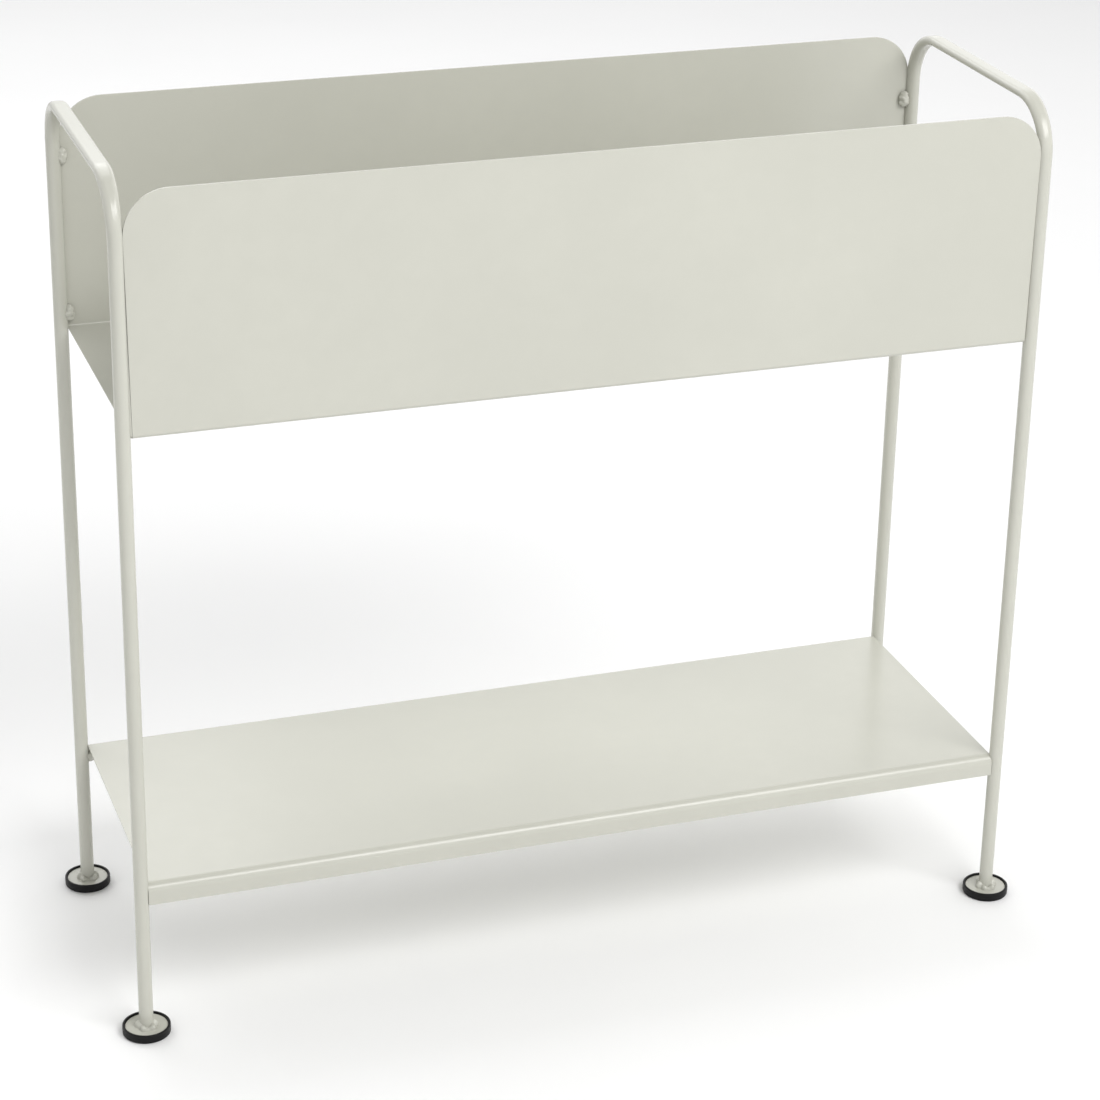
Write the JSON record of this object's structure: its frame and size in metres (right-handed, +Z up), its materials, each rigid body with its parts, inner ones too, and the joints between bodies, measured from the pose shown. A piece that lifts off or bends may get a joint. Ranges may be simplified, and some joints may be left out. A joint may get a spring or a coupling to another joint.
{
  "type": "raised planter on legs",
  "caption": "Slim raised planter: an open-ended folded sheet trough and a low shelf between bent-tube end frames with round feet.",
  "frame": {"origin": "on the floor, under the middle of the planter", "axes": "+X along the planter from its left end to its right end, -Y to the front, +Z up"},
  "size_m": [0.829, 0.301, 0.7547],
  "materials": {
    "tube_coat": "satin powder coat on bent steel tube",
    "sheet_coat": "satin powder coat on folded sheet steel",
    "foot_coat": "satin powder coat on a flat steel disc",
    "weld_coat": "powder coat over an uneven weld bead",
    "glide_rubber": "black moulded rubber, low sheen"
  },
  "bodies": {
    "root": {"left_end_frame": "tube_coat", "right_end_frame": "tube_coat", "trough": "sheet_coat", "shelf": "sheet_coat", "foot_glide_front_left": "glide_rubber", "foot_glide_front_right": "glide_rubber", "foot_glide_rear_left": "glide_rubber", "foot_glide_rear_right": "glide_rubber", "foot_disc_front_left": "foot_coat", "foot_disc_front_right": "foot_coat", "foot_disc_rear_left": "foot_coat", "foot_disc_rear_right": "foot_coat", "foot_weld_front_left": "weld_coat", "foot_weld_front_right": "weld_coat", "foot_weld_rear_left": "weld_coat", "foot_weld_rear_right": "weld_coat", "trough_welds_front_left": "weld_coat", "trough_welds_front_right": "weld_coat", "trough_welds_rear_left": "weld_coat", "trough_welds_rear_right": "weld_coat", "shelf_weld_front_left": "weld_coat", "shelf_weld_front_right": "weld_coat", "shelf_weld_rear_left": "weld_coat", "shelf_weld_rear_right": "weld_coat"}
  },
  "joints": []
}
